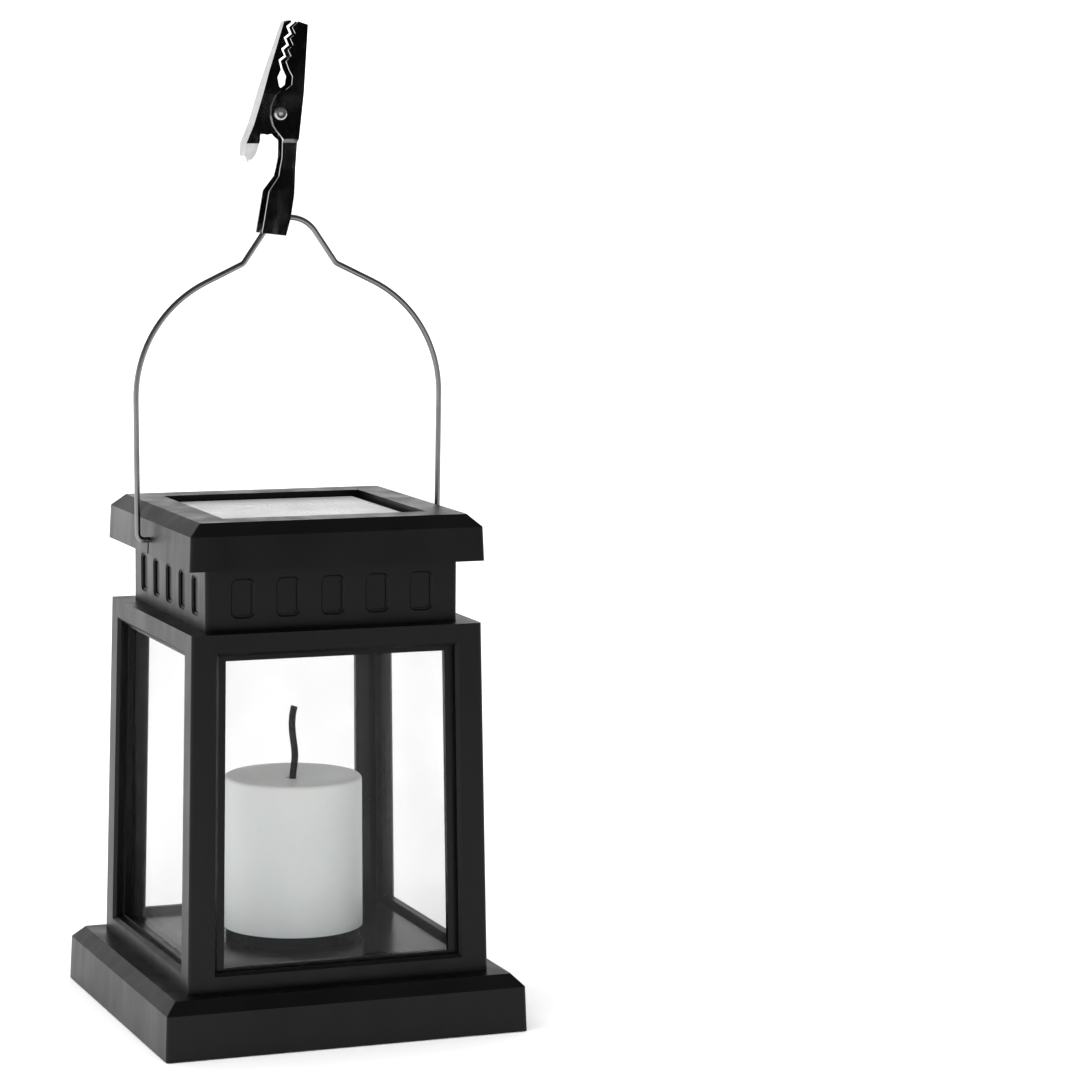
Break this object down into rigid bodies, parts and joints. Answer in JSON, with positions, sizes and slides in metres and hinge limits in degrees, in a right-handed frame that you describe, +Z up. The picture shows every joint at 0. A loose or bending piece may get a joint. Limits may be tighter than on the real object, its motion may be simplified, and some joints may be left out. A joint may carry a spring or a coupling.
{
  "type": "solar garden light",
  "caption": "Square hanging candle lantern with clear windows, a solar panel in its lid, a swinging wire bail and a sprung alligator clip on the bail's crown.",
  "frame": {"origin": "centre of the foot's underside", "axes": "+Z up, the pictured front faces -Y, the bail's plane is XZ"},
  "size_m": [0.08, 0.08, 0.2141],
  "materials": {
    "black_plastic": "satin moulded",
    "black_trim": "matt",
    "clear_pane": "clear gloss",
    "panel_cover": "clear gloss",
    "ivory_wax": "satin, wax-like",
    "wick": "charred",
    "bail_wire": "drawn wire",
    "clip_steel": "nickel plated, polished",
    "rivet_steel": "plated",
    "spring_steel": "bright wire",
    "screw_steel": "zinc plated",
    "solar_cell": "dark blue silicon",
    "panel_backing": "matt",
    "board_green": "solder mask",
    "chip_black": "matt",
    "coil_ferrite": "ferrite",
    "solder": "bright",
    "lead_red": "insulation",
    "lead_black": "insulation",
    "battery_wrap": "shrink sleeve",
    "led_clear": "clear epoxy"
  },
  "bodies": {
    "lantern": {"base_shell": "black_plastic", "cage_frame": "black_plastic", "neck_housing": "black_plastic", "roof_cap": "black_plastic", "base_cover": "black_plastic", "battery_door": "black_plastic", "candle_holder": "black_trim", "panel_gasket": "black_trim", "window_front": "clear_pane", "window_back": "clear_pane", "window_left": "clear_pane", "window_right": "clear_pane", "solar_cover": "panel_cover", "candle_shell": "ivory_wax", "candle_wick": "wick", "battery_spring": "spring_steel", "battery_contact": "spring_steel", "led_leads": "spring_steel", "cover_screws": "screw_steel", "cage_screws": "screw_steel", "roof_screws": "screw_steel", "board_screws": "screw_steel", "door_screw": "screw_steel", "solar_cells": "solar_cell", "solar_board": "panel_backing", "circuit_board": "board_green", "driver_chip": "chip_black", "switch_body": "chip_black", "boost_coil": "coil_ferrite", "solder_tabs": "solder", "solar_lead_red": "lead_red", "battery_lead_red": "lead_red", "solar_lead_black": "lead_black", "battery_lead_black": "lead_black", "battery_cell": "battery_wrap", "led_bulb": "led_clear"},
    "switch": {"switch_knob": "black_trim"},
    "bail": {"bail_handle": "bail_wire"},
    "clip": {"clip_long_jaw": "clip_steel", "clip_rivet": "rivet_steel", "clip_spring": "spring_steel"},
    "jaw": {"clip_short_jaw": "clip_steel", "spring_lever_leg": "spring_steel"}
  },
  "joints": [
    {"name": "bail_swing", "type": "hinge", "parent": "lantern", "child": "bail", "pos_m": [0, 0, 0.1038], "axis": [1, 0, 0], "range_deg": [-115, 115]},
    {"name": "clip_swing", "type": "hinge", "parent": "bail", "child": "clip", "pos_m": [-0.0007, 0, 0.17225], "axis": [1, 0, 0], "range_deg": [-18, 18]},
    {"name": "jaw_open", "type": "hinge", "parent": "clip", "child": "jaw", "pos_m": [-0.0037, 0, 0.19435], "axis": [0, -1, 0], "range_deg": [0, 25], "stiffness_Nm_per_rad": 0.02, "springref_deg": -85.94},
    {"name": "switch_slide", "type": "slide", "parent": "lantern", "child": "switch", "axis": [1, 0, 0], "range_m": [0, 0.0025]}
  ]
}
